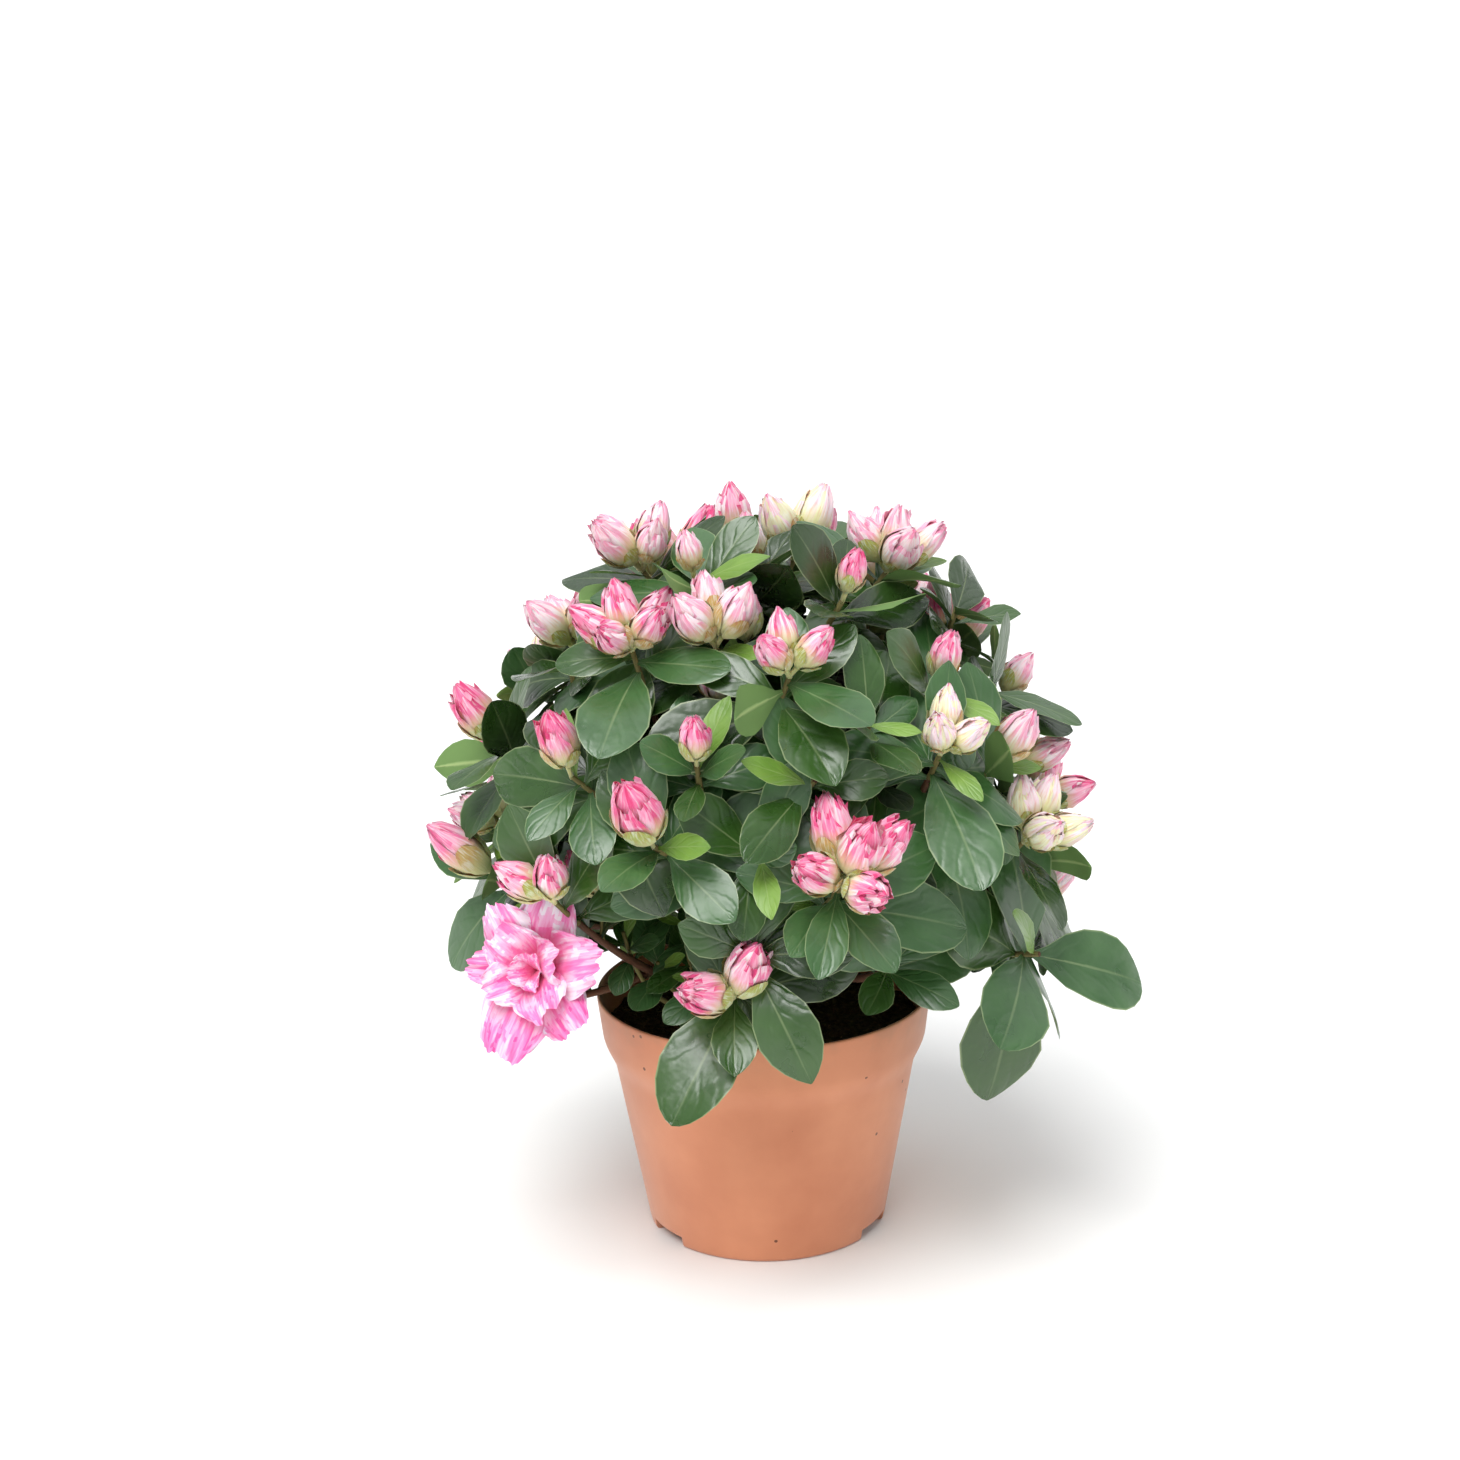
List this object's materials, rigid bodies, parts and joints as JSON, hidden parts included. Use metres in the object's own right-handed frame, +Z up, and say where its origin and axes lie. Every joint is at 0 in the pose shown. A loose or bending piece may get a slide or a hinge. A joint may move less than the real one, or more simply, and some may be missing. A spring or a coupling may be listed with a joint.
{
  "type": "potted azalea shrub",
  "caption": "Low domed florist's azalea with whorled leaves, striped buds and one open flower, on a short forked trunk in a tapered collared plant pot.",
  "frame": {"origin": "middle of the pot's flat underside, on the surface that it stands on", "axes": "+Z up along the pot's axis; -Y is the front, the side with the open flower to its left; +X is to the right seen from the front"},
  "size_m": [0.283, 0.2668, 0.2897],
  "materials": {
    "pot_plastic": "moulded terracotta-coloured polypropylene, slightly satin",
    "peat": "damp crumbly peat",
    "bark": "thin grey-brown bark with fine ridges",
    "foliage": "waxy dark green leaves with paler undersides"
  },
  "bodies": {
    "root": {"pot": "pot_plastic", "soil": "peat", "trunk": "bark", "bough_crown": "bark", "bough_shoulder_1": "bark", "bough_shoulder_2": "bark", "bough_shoulder_3": "bark", "bough_shoulder_4": "bark", "bough_shoulder_5": "bark", "bough_skirt_1": "bark", "bough_skirt_2": "bark", "bough_skirt_3": "bark", "bough_skirt_4": "bark", "bough_skirt_5": "bark", "bough_skirt_6": "bark", "bough_skirt_7": "bark", "bough_skirt_8": "bark", "mass_crown": "foliage", "mass_shoulder_1": "foliage", "mass_shoulder_2": "foliage", "mass_shoulder_3": "foliage", "mass_shoulder_4": "foliage", "mass_shoulder_5": "foliage", "mass_skirt_1": "foliage", "mass_skirt_2": "foliage", "mass_skirt_3": "foliage", "mass_skirt_4": "foliage", "mass_skirt_5": "foliage", "mass_skirt_6": "foliage", "mass_skirt_7": "foliage", "mass_skirt_8": "foliage"}
  },
  "joints": []
}
